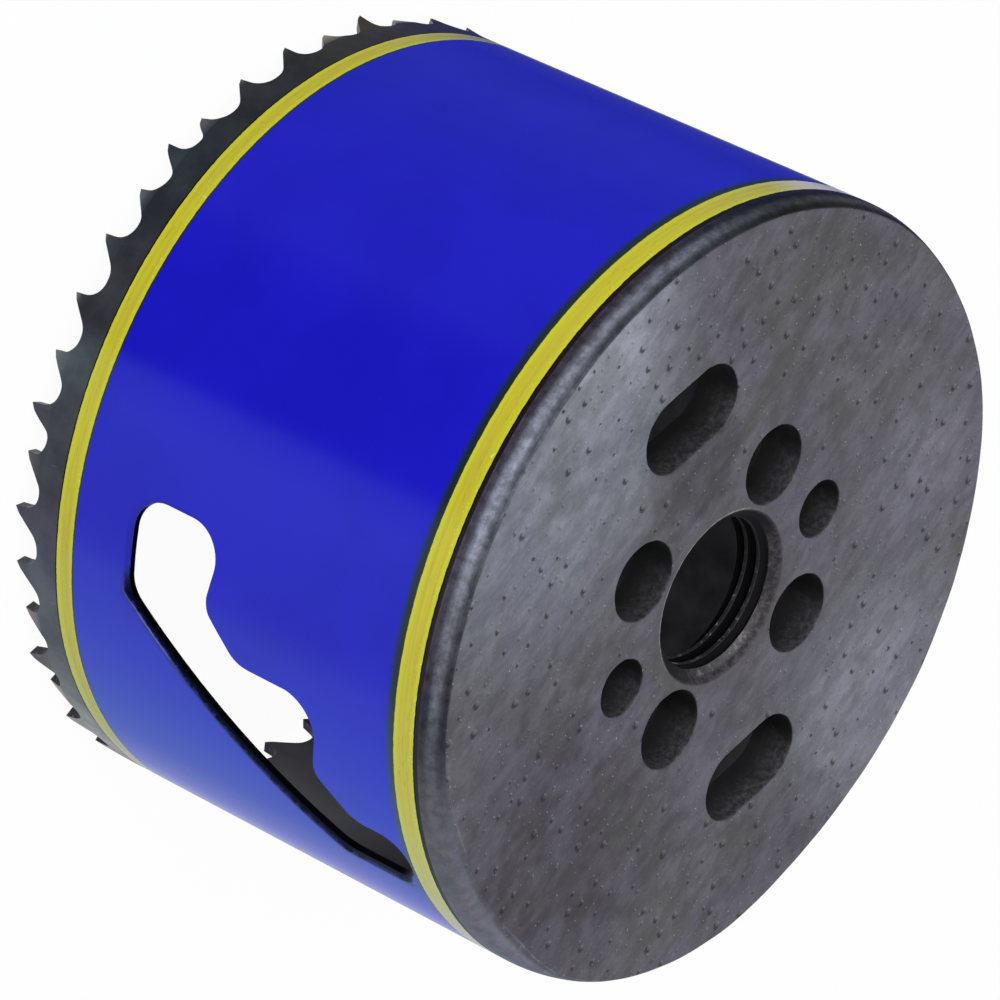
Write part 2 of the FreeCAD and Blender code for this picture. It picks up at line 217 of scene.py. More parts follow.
class Shader:
    """A material's node tree, with short names for the nodes that the materials here are made of."""

    def __init__(self, name):
        self.material = bpy.data.materials.new(name)
        self.material.use_nodes = True
        self.tree = self.material.node_tree
        self.tree.nodes.clear()

    def add(self, kind, inputs=(), output=0, **settings):
        made = self.tree.nodes.new(kind)
        for key, value in settings.items():
            setattr(made, key, value)
        pairs = inputs.items() if isinstance(inputs, dict) else enumerate(inputs)
        for key, value in pairs:
            self.feed(made.inputs[key], value)
        return made if output is None else made.outputs[output]

    def feed(self, socket, value):
        if value is None:
            return
        if isinstance(value, bpy.types.NodeSocket):
            self.tree.links.new(value, socket)
        else:
            socket.default_value = value

    def math(self, operation, first, second=None, clamp=False):
        return self.add("ShaderNodeMath", (first, second), operation=operation, use_clamp=clamp)

    def times(self, first, second):
        return self.math("MULTIPLY", first, second)

    def plus(self, first, second, share):
        """A number with a share of a second one added."""
        return self.add("ShaderNodeMath", (second, share, first), operation="MULTIPLY_ADD")

    def vector(self, operation, first, second=None, scale=None):
        inputs = {0: first, 1: second}
        if scale is not None:
            inputs["Scale"] = scale
        return self.add("ShaderNodeVectorMath", inputs, operation=operation)

    def dot(self, first, second):
        return self.add("ShaderNodeVectorMath", (first, second), output=1, operation="DOT_PRODUCT")

    def mix(self, factor, first, second):
        """A colour between two others."""
        inputs = {0: factor, 6: first, 7: second}
        return self.add("ShaderNodeMix", inputs, output=2, data_type="RGBA")

    def blend(self, factor, first, second):
        """A number between two others."""
        return self.add("ShaderNodeMix", {0: factor, 2: first, 3: second}, data_type="FLOAT")

    def tint(self, tone, strength):
        """A colour made darker or lighter by a number."""
        grey = self.add("ShaderNodeCombineXYZ", (strength, strength, strength))
        return self.vector("MULTIPLY", tone, grey)

    def smooth_line(self, value, low, high):
        """How far a value has come from low to high, in an even line."""
        inputs = {"Value": value, "From Min": low, "From Max": high}
        return self.add("ShaderNodeMapRange", inputs)

    def smooth(self, value, low, high, out_low=0.0, out_high=1.0):
        """From out_low to out_high while a value goes from low to high, eased at both ends."""
        inputs = {"Value": value, "From Min": low, "From Max": high, "To Min": out_low, "To Max": out_high}
        return self.add("ShaderNodeMapRange", inputs, interpolation_type="SMOOTHSTEP")

    def between(self, value, low, high, soft):
        """1 from low to high, with soft edges."""
        rise = self.smooth(value, low - soft / 2, low + soft / 2)
        fall = self.smooth(value, high - soft / 2, high + soft / 2)
        return self.math("SUBTRACT", rise, fall, clamp=True)

    def noise(self, vector, scale, detail, roughness):
        inputs = {"Vector": vector, "Scale": scale, "Detail": detail, "Roughness": roughness}
        return self.add("ShaderNodeTexNoise", inputs)

    def ramp(self, share, stops):
        """A colour for each share from 0 to 1, blended between stops of a position and a colour each."""
        made = self.add("ShaderNodeValToRGB", (share,), output=None)
        elements = made.color_ramp.elements
        while len(elements) < len(stops):
            elements.new(1.0)
        for element, (position, tone) in zip(elements, stops):
            element.position = position
            element.color = tone
        return made.outputs[0]

    def painted_light_around(self, around, stops):
        """The painted light factor for each share of a half turn, from stops of an angle in degrees and a
        factor each.
        """
        return self.ramp(around, [(angle / 180, (*tone, 1)) for angle, tone in stops])

    def normal(self):
        """The direction that the surface faces."""
        return self.add("ShaderNodeTexCoord", output=1)

    def place(self):
        """The point on the piece, in millimetres."""
        metres = self.add("ShaderNodeTexCoord", output=3)
        return self.vector("SCALE", metres, scale=1 / MM)

    def stretch(self, vector, across, along):
        return self.vector("MULTIPLY", vector, (across, across, along))

    def level(self, vector):
        """A vector without its upward part."""
        return self.vector("MULTIPLY", vector, (1, 1, 0))

    def distance(self, vector, centre=(0, 0, 0)):
        apart = self.vector("SUBTRACT", vector, centre)
        return self.add("ShaderNodeVectorMath", (apart,), output=1, operation="LENGTH")

    def parts(self, vector):
        split = self.tree.nodes.new("ShaderNodeSeparateXYZ")
        self.tree.links.new(vector, split.inputs[0])
        return split.outputs

    def bump(self, height, distance, strength, under=None):
        """Relief up to a distance in millimetres, on top of any that is given under it."""
        inputs = {"Height": height, "Distance": distance * MM, "Strength": strength, "Normal": under}
        return self.add("ShaderNodeBump", inputs)

    def finish(self, **sockets):
        """A Principled surface, whose sockets are given by name with _ for a space."""
        shader = self.tree.nodes.new("ShaderNodeBsdfPrincipled")
        for key, value in sockets.items():
            self.feed(shader.inputs[key.replace("_", " ")], value)
        output = self.tree.nodes.new("ShaderNodeOutputMaterial")
        self.tree.links.new(shader.outputs[0], output.inputs["Surface"])
        return self.material


def colour(red, green, blue):
    """A colour written as it shows on screen, from 0 to 255."""
    linear = []
    for share in (red / 255, green / 255, blue / 255):
        linear.append(share / 12.92 if share <= 0.04045 else ((share + 0.055) / 1.055) ** 2.4)
    return (*linear, 1.0)


# Camera

def make_camera():
    azimuth = math.radians(CAMERA_AZIMUTH)
    elevation = math.radians(CAMERA_ELEVATION)
    level = math.cos(elevation)
    back = Vector((math.sin(azimuth) * level, -math.cos(azimuth) * level, math.sin(elevation)))
    data = bpy.data.cameras.new("photo_camera")
    data.sensor_width = CAMERA_SENSOR
    data.lens = CAMERA_LENS
    camera = bpy.data.objects.new("photo_camera", data)
    camera.rotation_mode = "QUATERNION"
    roll = Quaternion((0, 0, 1), math.radians(CAMERA_ROLL))
    camera.rotation_quaternion = (-back).to_track_quat("-Z", "Y") @ roll
    camera.location = CAMERA_AIM + back * CAMERA_DISTANCE
    bpy.context.scene.collection.objects.link(camera)
    bpy.context.scene.camera = camera


# Studio

def seen_directly(tree):
    """1 for what the camera sees, straight or mirrored, and 0 for the light that falls on things."""
    path = tree.nodes.new("ShaderNodeLightPath")
    total = path.outputs["Is Camera Ray"]
    for name in ("Is Glossy Ray", "Is Transmission Ray"):
        larger = tree.nodes.new("ShaderNodeMath")
        larger.operation = "MAXIMUM"
        tree.links.new(total, larger.inputs[0])
        tree.links.new(path.outputs[name], larger.inputs[1])
        total = larger.outputs[0]
    return total


def make_world():
    world = bpy.data.worlds.new("studio")
    world.use_nodes = True
    tree = world.node_tree
    tree.nodes.clear()
    background = tree.nodes.new("ShaderNodeBackground")
    background.inputs["Color"].default_value = (1, 1, 1, 1)
    level = tree.nodes.new("ShaderNodeMix")
    level.data_type = "FLOAT"
    tree.links.new(seen_directly(tree), level.inputs[0])
    level.inputs[2].default_value = WORLD_LEVEL
    level.inputs[3].default_value = 1.0
    tree.links.new(level.outputs[0], background.inputs["Strength"])
    output = tree.nodes.new("ShaderNodeOutputWorld")
    tree.links.new(background.outputs[0], output.inputs["Surface"])
    bpy.context.scene.world = world


def floor_material():
    """White to the eye, less a share that takes the object's shadow."""
    material = bpy.data.materials.new("pale_floor")
    material.use_nodes = True
    tree = material.node_tree
    tree.nodes.clear()
    diffuse = tree.nodes.new("ShaderNodeBsdfDiffuse")
    diffuse.inputs["Color"].default_value = FLOOR_COLOUR
    white = tree.nodes.new("ShaderNodeEmission")
    share = tree.nodes.new("ShaderNodeMath")
    share.operation = "MULTIPLY"
    tree.links.new(seen_directly(tree), share.inputs[0])
    share.inputs[1].default_value = 1 - SHADOW_SHARE
    mixed = tree.nodes.new("ShaderNodeMixShader")
    tree.links.new(share.outputs[0], mixed.inputs[0])
    tree.links.new(diffuse.outputs[0], mixed.inputs[1])
    tree.links.new(white.outputs[0], mixed.inputs[2])
    output = tree.nodes.new("ShaderNodeOutputMaterial")
    tree.links.new(mixed.outputs[0], output.inputs["Surface"])
    return material


def flat_piece(name, outline, height, material):
    mesh = bpy.data.meshes.new(name)
    mesh.from_pydata([(x, y, height) for x, y in outline], [], [list(range(len(outline)))])
    mesh.materials.append(material)
    piece = bpy.data.objects.new(name, mesh)
    bpy.context.scene.collection.objects.link(piece)
    return piece


def make_floor():
    reach = FLOOR_REACH
    corners = [(-reach, -reach), (reach, -reach), (reach, reach), (-reach, reach)]
    floor = flat_piece("studio_floor", corners, FLOOR_HEIGHT, floor_material())


def card_tone(levels, direction):
    """The colour at a direction, blended between the levels on both sides of it."""
    for (start, tone), (stop, next_tone) in zip(levels, levels[1:]):
        if direction <= stop:
            share = (direction - start) / (stop - start)
            return Vector(tone).lerp(Vector(next_tone), share)
    return Vector(levels[-1][1])


def make_card():
    """The card on the floor and the collar at its edge, which only shiny surfaces see.

    Each tone lies on the line in which one upright line of the wall mirrors the camera's sight.
    """
    shader = Shader("card_glow")
    tone = shader.add("ShaderNodeAttribute", attribute_name="tone")
    glow = shader.add("ShaderNodeEmission", (tone,))
    shader.add("ShaderNodeOutputMaterial", (glow,), output=None)
    shell = Shell()
    rings = []
    tones = []
    first = FLOOR_CARD[0][0]
    for reach, height, levels in CARD_ROWS:
        points = []
        for index in range(CARD_COUNT):
            direction = first + 360 * index / CARD_COUNT
            away = math.radians(direction)
            stand = math.radians((direction + CARD_SIGHT) / 2)
            x = OUTER_RADIUS * math.cos(stand) + reach * math.cos(away)
            y = OUTER_RADIUS * math.sin(stand) + reach * math.sin(away)
            points.append((x, y, height))
            tones.append(card_tone(levels, direction))
        rings.append(shell.ring(points))
    shell.chain(rings)
    card = shell.build("mirrored_card", shader.material)
    marks = card.data.attributes.new("tone", "FLOAT_COLOR", "POINT")
    for mark, tone in zip(marks.data, tones):
        mark.color = (*tone, 1)
    card.visible_camera = False
    card.visible_diffuse = False
    card.visible_transmission = False
    card.visible_shadow = False


def make_lamp(name, direction, distance, size, power):
    data = bpy.data.lights.new(name, "AREA")
    data.shape = "DISK"
    data.size = size
    data.energy = power
    lamp = bpy.data.objects.new(name, data)
    away = Vector(direction).normalized()
    lamp.location = away * distance
    lamp.rotation_mode = "QUATERNION"
    lamp.rotation_quaternion = away.to_track_quat("Z", "Y")
    bpy.context.scene.collection.objects.link(lamp)


def make_studio():
    make_world()
    make_floor()
    make_card()
    make_lamp("key", KEY_DIRECTION, KEY_DISTANCE, KEY_SIZE, KEY_POWER)


# Backing plate, with its thread, worn edges and torn hole walls

# How far apart the points round a hole and the rows down its wall are.
HOLE_STEP = 0.3
HOLE_ROW = 0.22

# How far the worn edge of a hole reaches out over the face, at what depth, and how rough it is there.
HOLE_EDGE = ((0.26, 0.0, 0.02), (0.14, 0.02, 0.04), (0.05, 0.08, 0.06), (0.0, 0.22, 0.06))

# How rough a hole's wall gets, by what depth, and the lumps that it is made of.
HOLE_TORN = 0.1
TORN_DEPTH = 1.5
COARSE_SHARE = 0.7
COARSE_GRAIN = 0.9
FINE_SHARE = 0.5
FINE_GRAIN = 0.3

# The rings of the bore, and how rough its first one and its thread are.
BORE_EDGE = 0.08
BORE_COUNT = 240
THREAD_ROW = 0.05
EDGE_TORN = 0.05
THREAD_TORN = 0.02
THREAD_GRAIN = 0.6
GRAIN_RADIUS = 9

# The rings of the rim, and the break of its crease.
RIM_COUNT = 360
RIM_STEPS = 14
CREASE_BREAK = 0.15
CREASE_WAVER = 0.05
CREASE_GRAIN = 3.0
FACE_RADIUS = OUTER_RADIUS - RIM_INSET - 1.2 * CREASE_BREAK

# The rim's wear: a direction, how many insets further in its edge lies, and how deep its crease is cut.
RIM_WEAR = (
    (0, 0.0, 0.0),
    (115, 0.0, 0.05),
    (130, -0.05, 0.45),
    (140, -0.1, 0.85),
    (150, -0.2, 1.0),
    (160, -0.35, 0.88),
    (167, -0.45, 0.65),
    (175, -0.6, 0.25),
    (188, -0.73, 0.0),
    (198, -0.9, 0.0),
    (208, -0.95, 0.0),
    (216, -0.8, 0.0),
    (223, -0.3, 0.0),
    (229, 0.1, 0.0),
    (235, 0.35, 0.0),
    (246, 0.3, 0.0),
    (256, 0.0, 0.0),
    (268, -0.3, 0.0),
    (283, -0.5, 0.0),
    (292, -0.55, 0.0),
    (298, -0.75, 0.0),
    (305, -0.92, 0.0),
    (312, -0.85, 0.0),
    (320, -0.5, 0.0),
    (330, -0.1, 0.0),
    (340, 0.0, 0.0),
    (360, 0.0, 0.0),
)

# The loose points over the plate's flat faces.
FACE_STEP = 1.6
FACE_CLEAR = 0.7
FACE_WAVER = 0.3
FACE_GRAIN = 2.0

# How near two points of a face count as one, and up to what angle an edge is shaded soft.
POINT_TOLERANCE = 1e-6
SMOOTH_ANGLE = 40


class Shell:
    """A closed surface in millimetres, made of rings that are joined one to the next."""

    def __init__(self):
        self.points = []
        self.faces = []

    def ring(self, points):
        first = len(self.points)
        self.points.extend(points)
        return list(range(first, len(self.points)))

    def join(self, ring, other):
        count = len(ring)
        for index in range(count):
            ahead = (index + 1) % count
            self.faces.append((ring[index], ring[ahead], other[ahead], other[index]))

    def chain(self, rings):
        for ring, other in zip(rings, rings[1:]):
            self.join(ring, other)

    def fill(self, rings, extra, is_solid):
        """A flat face between rings and extra points, wherever is_solid(x, y) says that there is metal."""
        owners = [index for ring in rings for index in ring] + self.ring(extra)
        flat_points = [Vector(self.points[index][:2]) for index in owners]
        edges = []
        first = 0
        for ring in rings:
            count = len(ring)
            edges.extend((first + index, first + (index + 1) % count) for index in range(count))
            first += count
        made = geometry.delaunay_2d_cdt(flat_points, edges, [], 0, POINT_TOLERANCE)
        places, _, faces, origins, _, _ = made
        sources = [owners[origin[0]] for origin in origins]
        for face in faces:
            middle = sum((places[index] for index in face), Vector((0, 0))) / len(face)
            if is_solid(middle.x, middle.y):
                self.faces.append([sources[index] for index in face])

    def build(self, name, material):
        mesh = bpy.data.meshes.new(name)
        mesh.from_pydata([[value * MM for value in point] for point in self.points], [], self.faces)
        work = bmesh.new()
        work.from_mesh(mesh)
        bmesh.ops.recalc_face_normals(work, faces=work.faces)
        work.to_mesh(mesh)
        work.free()
        mesh.shade_smooth()
        mesh.set_sharp_from_angle(angle=math.radians(SMOOTH_ANGLE))
        mesh.materials.append(material)
        piece = bpy.data.objects.new(name, mesh)
        bpy.context.scene.collection.objects.link(piece)
        return piece


def round_points(radius, height, count):
    """Points round the axis. radius may be a number or a function of the angle in radians."""
    points = []
    for index in range(count):
        angle = 2 * math.pi * index / count
        across = radius(angle) if callable(radius) else radius
        points.append((across * math.cos(angle), across * math.sin(angle), height))
    return points


def waver(x, y, z, grain):
    """Smooth noise from -1 to 1 with lumps of about this size in millimetres."""
    return noise.noise(Vector((x, y, z)) / grain)


class Hole:
    """A punched hole, round or with two straight sides square to the radius that it sits on."""

    def __init__(self, radius, circle, angle, straight):
        self.radius = radius
        self.half = straight / 2
        self.turn = math.radians(angle)
        self.away = circle / 2
        self.length = 2 * math.pi * radius + 4 * self.half
        self.count = 4 * round(self.length / HOLE_STEP / 4)

    def outline(self, share):
        """The point and the outward direction at this share of the way round, before it is turned."""
        along = share * self.length
        quarter = math.pi * self.radius / 2
        side = 1
        if along > self.length / 2:
            along -= self.length / 2
            side = -1
        if along < self.half:
            place = (self.radius, along)
            out = (1, 0)
        elif along < self.half + 2 * quarter:
            angle = (along - self.half) / self.radius
            out = (math.cos(angle), math.sin(angle))
            place = (self.radius * out[0], self.half + self.radius * out[1])
        else:
            place = (-self.radius, self.length / 2 - along)
            out = (-1, 0)
        return [side * value for value in place], [side * value for value in out]

    def points(self, grow, height, torn):
        """A ring round the hole, grown outward and roughened by up to torn."""
        points = []
        cosine = math.cos(self.turn)
        sine = math.sin(self.turn)
        for index in range(self.count):
            place, out = self.outline(index / self.count)
            x = self.away + place[0]
            coarse = waver(x, place[1], height + self.turn, COARSE_GRAIN)
            fine = waver(x, place[1], height - self.turn, FINE_GRAIN)
            rough = grow + torn * (COARSE_SHARE * coarse + FINE_SHARE * fine)
            x += out[0] * rough
            y = place[1] + out[1] * rough
            points.append((x * cosine - y * sine, x * sine + y * cosine, height))
        return points

    def gap(self, x, y):
        """Distance from a place on the face to the hole's edge, negative inside it."""
        across = x * math.cos(self.turn) + y * math.sin(self.turn) - self.away
        along = abs(y * math.cos(self.turn) - x * math.sin(self.turn))
        return math.hypot(across, max(0.0, along - self.half)) - self.radius


def all_holes():
    holes = []
    for kind in (DRIVE_HOLES, PIN_HOLES, KNOCKOUTS):
        for angle in kind["angles"]:
            holes.append(Hole(kind["radius"], kind["circle"], angle, kind.get("straight", 0.0)))
    return holes


def bore_radius(angle, height):
    """The threaded bore's radius: crest, flank, root, flank, and the chamfer where that is wider."""
    turns = (height - THREAD_HEIGHT) / THREAD_PITCH - (math.degrees(angle) - THREAD_START) / 360
    off_crest = abs(turns - round(turns)) * THREAD_PITCH
    flank = (THREAD_PITCH - THREAD_CREST - THREAD_ROOT) / 2
    depth = THREAD_DEPTH * min(1.0, max(0.0, (off_crest - THREAD_CREST / 2) / flank))
    chamfer = height - (FACE_HEIGHT - BORE_CHAMFER)
    return BORE_RADIUS + max(depth, chamfer, 0.0)


def bore_rings(shell):
    """Rings down the bore, from the face to the plate's foot."""
    rings = [shell.ring(round_points(BORE_MOUTH + BORE_EDGE, FACE_HEIGHT, BORE_COUNT))]
    start = FACE_HEIGHT - BORE_EDGE / 2
    run = PLATE_THICKNESS - BORE_EDGE / 2
    rows = round(run / THREAD_ROW)
    for row in range(rows + 1):
        height = start - run * row / rows
        torn = THREAD_TORN if row else EDGE_TORN

        def radius(angle):
            x = GRAIN_RADIUS * math.cos(angle)
            y = GRAIN_RADIUS * math.sin(angle)
            rough = waver(x, y, height * 2, THREAD_GRAIN)
            return bore_radius(angle, height) + torn * rough

        rings.append(shell.ring(round_points(radius, height, BORE_COUNT)))
    return rings


def worn_rim(across, angle):
    """The radius that a radius on the usual dome has at an angle in radians, after wear."""
    direction = math.degrees(angle)
    wear = next(pair for pair in zip(RIM_WEAR, RIM_WEAR[1:]) if direction <= pair[1][0])
    share = (direction - wear[0][0]) / (wear[1][0] - wear[0][0])
    further_in, cut = Vector(wear[0][1:]).lerp(Vector(wear[1][1:]), share)
    inset = (OUTER_RADIUS - across) / RIM_INSET
    x = OUTER_RADIUS * math.cos(angle)
    y = OUTER_RADIUS * math.sin(angle)
    cut += CREASE_WAVER * waver(x, y, 0, CREASE_GRAIN)
    return across - RIM_INSET * further_in * min(inset, 1.0) - cut * inset ** 3


def rim_rings(shell):
    """Rings over the spigot, the flange's underside and the domed rim, from the foot to the face."""
    dome = (RIM_INSET ** 2 + FLANGE_THICKNESS ** 2) / (2 * RIM_INSET)
    sweep = math.asin(FLANGE_THICKNESS / dome)
    profile = [(SPIGOT_RADIUS, FOOT_HEIGHT), (SPIGOT_RADIUS, FLANGE_HEIGHT), (OUTER_RADIUS, FLANGE_HEIGHT)]
    last = sweep - CREASE_BREAK / dome
    for step in range(1, RIM_STEPS + 1):
        angle = last * step / RIM_STEPS
        across = OUTER_RADIUS - dome * (1 - math.cos(angle))
        profile.append((across, FLANGE_HEIGHT + dome * math.sin(angle)))
    crease = OUTER_RADIUS - RIM_INSET
    profile.append((crease - 0.3 * CREASE_BREAK, FACE_HEIGHT - 0.25 * CREASE_BREAK))
    profile.append((FACE_RADIUS, FACE_HEIGHT))
    rings = []
    for across, height in profile:

        def radius(angle):
            return worn_rim(across, angle) if height > FLANGE_HEIGHT else across

        rings.append(shell.ring(round_points(radius, height, RIM_COUNT)))
    return rings


def face_points(holes, height, inner, outer):
    """Loose points over the flat face, clear of its edges."""
    clear = FACE_CLEAR * FACE_STEP
    points = []
    rows = round(outer / FACE_STEP)
    for row in range(-rows, rows + 1):
        for column in range(-rows, rows + 1):
            x = (column + 0.5 * (row % 2)) * FACE_STEP
            y = row * FACE_STEP * math.sqrt(3) / 2
            x += FACE_WAVER * waver(x, y, 0, FACE_GRAIN)
            away = math.hypot(x, y)
            in_reach = inner + clear < away < outer - clear
            if in_reach and all(hole.gap(x, y) > clear for hole in holes):
                points.append((x, y, height))
    return points


def make_plate(material):
    shell = Shell()
    holes = all_holes()
    rim = rim_rings(shell)
    bore = bore_rings(shell)
    shell.chain(rim)
    shell.chain(bore)
    tops = [rim[-1], bore[0]]
    feet = [rim[0], bore[-1]]
    for hole in holes:
        rings = []
        for grow, depth, torn in HOLE_EDGE:
            rings.append(shell.ring(hole.points(grow, FACE_HEIGHT - depth, torn)))
        start = HOLE_EDGE[-1][1]
        rows = round((PLATE_THICKNESS - start) / HOLE_ROW)
        for row in range(1, rows + 1):
            depth = start + (PLATE_THICKNESS - start) * row / rows
            torn = HOLE_TORN * min(1.0, depth / TORN_DEPTH)
            rings.append(shell.ring(hole.points(0.0, FACE_HEIGHT - depth, torn)))
        shell.chain(rings)
        tops.append(rings[0])
        feet.append(rings[-1])

    grown = HOLE_EDGE[0][0] - 2 * HOLE_EDGE[0][2]

    def is_face(x, y):
        edge = worn_rim(FACE_RADIUS, math.atan2(y, x) % (2 * math.pi))
        in_reach = BORE_MOUTH + 0.9 * BORE_EDGE < math.hypot(x, y) < edge
        return in_reach and all(hole.gap(x, y) > grown for hole in holes)

    def is_foot(x, y):
        bore = bore_radius(math.atan2(y, x), FOOT_HEIGHT)
        return math.hypot(x, y) > bore and all(hole.gap(x, y) > 0 for hole in holes)

    shell.fill(tops, face_points(holes, FACE_HEIGHT, BORE_MOUTH, OUTER_RADIUS - RIM_INSET), is_face)
    shell.fill(feet, face_points(holes, FOOT_HEIGHT, BORE_RADIUS, SPIGOT_RADIUS), is_foot)
    plate = shell.build("plate_with_thread", material)
    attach(plate, "root")
    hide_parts("backing_plate")


# Finishes

def blue_paint(shader, place):
    cloud = shader.noise(place, 0.09, 3.0, 0.5)
    grain = shader.noise(place, 7.0, 2.0, 0.5)
    blue = shader.mix(shader.smooth(cloud, 0.35, 0.65), colour(2, 2, 178), colour(8, 6, 186))
    return shader.mix(shader.smooth(grain, 0.68, 0.8), blue, colour(40, 42, 200))


def yellow_paint(shader, place, height, band):
    """Yellow with a warmer middle, brighter edges, streaks along the ring and a few scratches."""
    low, high = band
    warm = shader.noise(shader.stretch(place, 0.10, 3.5), 1.0, 4.0, 0.6)
    yellow = shader.mix(shader.smooth(warm, 0.35, 0.65), colour(190, 186, 34), colour(182, 168, 48))
    middle = shader.between(height, low + 0.45, high - 0.4, 0.5)
    yellow = shader.mix(middle, colour(192, 192, 26), yellow)
    streaks = shader.noise(shader.stretch(place, 0.6, 9.0), 1.0, 3.0, 0.6)
    scratched = shader.times(shader.smooth(streaks, 0.60, 0.70), middle)
    yellow = shader.mix(shader.times(scratched, 0.5), yellow, colour(120, 112, 24))
    grit = shader.noise(place, 3.2, 3.0, 0.7)
    near_cap = shader.smooth(height, high - 1.0, high - 0.1)
    grit = shader.times(shader.smooth(grit, 0.60, 0.72), near_cap)
    return shader.mix(grit, yellow, colour(236, 232, 120))


def bare_strip(shader, place, height, facing):
    """The strip where it was never painted: a charcoal tooth band, the rake faces and the inside, in
    painted shade that is less deep towards the plate.
    """
    cloud = shader.noise(shader.stretch(place, 0.25, 0.25), 1.0, 4.0, 0.6)
    band = shader.mix(shader.smooth(cloud, 0.3, 0.7), colour(86, 85, 92), colour(106, 106, 112))
    scuffs = shader.noise(shader.stretch(place, 1.6, 0.5), 1.0, 4.0, 0.7)
    band = shader.mix(shader.smooth(scuffs, 0.62, 0.78), band, colour(130, 128, 126))
    specks = shader.noise(place, 3.0, 3.0, 0.7)
    rake = shader.mix(shader.smooth(specks, 0.60, 0.72), colour(52, 50, 54), colour(140, 138, 138))
    above_teeth = shader.smooth(height, FAR_RING[0] - 1.0, FAR_RING[0] - 0.8)
    cut = shader.mix(above_teeth, rake, colour(14, 14, 20))
    # Painted shade inside the cup, less deep towards the plate.
    inside = shader.mix(shader.smooth(cloud, 0.3, 0.7), colour(28, 28, 29), colour(42, 42, 43))
    inside = shader.mix(shader.smooth(height, 34, 46), inside, colour(84, 82, 84))
    bare = shader.mix(shader.smooth(facing, 0.35, 0.55), cut, band)
    return shader.mix(shader.smooth(facing, -0.5, -0.7), bare, inside)


def slot_drop(shader, place, height, angle):
    """How far a place lies outside its slot, how far along the slot, and whether it is beside the ramp."""
    turned = shader.math("SUBTRACT", angle, math.radians(SLOT_START))
    turned = shader.math("FLOORED_MODULO", turned, 2 * math.pi)
    turned = shader.math("FLOORED_MODULO", turned, math.radians(SLOT_SPACING))
    along = shader.times(turned, OUTER_RADIUS)
    below = shader.math("SUBTRACT", SLOT_FOOT, height)
    share = shader.math("SUBTRACT", along, RAMP_START)
    beyond = shader.plus(shader.times(share, RAMP_OUT[0]), below, -RAMP_OUT[1])
    past_end = shader.math("SUBTRACT", along, SLOT_WIDTH)
    drop = shader.math("MAXIMUM", shader.math("MAXIMUM", below, beyond), past_end)
    beside = shader.times(shader.smooth(along, 6.5, 10.5), shader.smooth(past_end, 3.5, 3.0))
    beside = shader.times(beside, shader.smooth(height, SLOT_TOP + 0.6, SLOT_TOP - 1.5))
    beside = shader.times(beside, shader.smooth(drop, -0.5, -0.3))
    return drop, along, beside


